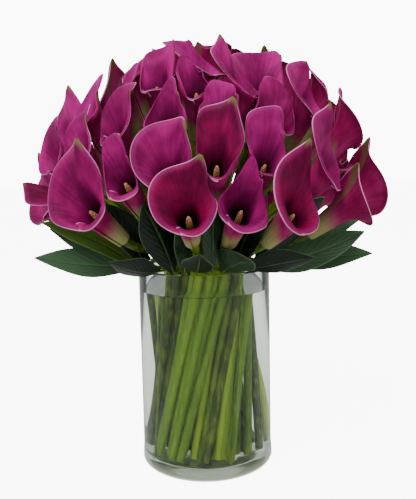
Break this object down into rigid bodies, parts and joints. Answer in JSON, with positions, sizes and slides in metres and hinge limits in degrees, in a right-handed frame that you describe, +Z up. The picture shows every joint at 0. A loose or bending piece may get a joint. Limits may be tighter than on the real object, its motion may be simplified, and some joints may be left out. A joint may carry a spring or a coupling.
{
  "type": "calla lily bouquet in a glass vase",
  "caption": "Round, tightly packed bouquet of magenta calla lilies with dark green leaves round the rim of a clear, straight glass cylinder vase that holds the stems in water.",
  "frame": {"origin": "centre of the vase's underside", "axes": "+Z up along the vase's axis; the picture looks along +Y; +X to the right in the picture"},
  "size_m": [0.344, 0.296, 0.4114],
  "materials": {
    "spathe": "satin petal, magenta purple with a pale pink rim",
    "stem": "smooth yellow-green stem",
    "leaf": "slightly glossy dark green leaf",
    "glass": "clear polished glass",
    "water": "clear water, faintly green"
  },
  "bodies": {
    "root": {"spathe_01": "spathe", "spathe_02": "spathe", "spathe_03": "spathe", "spathe_04": "spathe", "spathe_05": "spathe", "spathe_06": "spathe", "spathe_07": "spathe", "spathe_08": "spathe", "spathe_09": "spathe", "spathe_10": "spathe", "spathe_11": "spathe", "spathe_12": "spathe", "spathe_13": "spathe", "spathe_14": "spathe", "spathe_15": "spathe", "spathe_16": "spathe", "spathe_17": "spathe", "spathe_18": "spathe", "spathe_19": "spathe", "spathe_20": "spathe", "spathe_21": "spathe", "spathe_22": "spathe", "spathe_23": "spathe", "spathe_24": "spathe", "spathe_25": "spathe", "spathe_26": "spathe", "spathe_27": "spathe", "spathe_28": "spathe", "spathe_29": "spathe", "spathe_30": "spathe", "spathe_31": "spathe", "spathe_32": "spathe", "spathe_33": "spathe", "spathe_34": "spathe", "spathe_35": "spathe", "spathe_36": "spathe", "spathe_37": "spathe", "spathe_38": "spathe", "spathe_39": "spathe", "spathe_40": "spathe", "spathe_41": "spathe", "spathe_42": "spathe", "spathe_43": "spathe", "spathe_44": "spathe", "spathe_45": "spathe", "spathe_46": "spathe", "spathe_47": "spathe", "spathe_48": "spathe", "spathe_49": "spathe", "spathe_50": "spathe", "spathe_51": "spathe", "spathe_52": "spathe", "stems": "stem", "foliage_1": "leaf", "foliage_2": "leaf", "foliage_3": "leaf", "foliage_4": "leaf", "vase": "glass", "water": "water"}
  },
  "joints": []
}
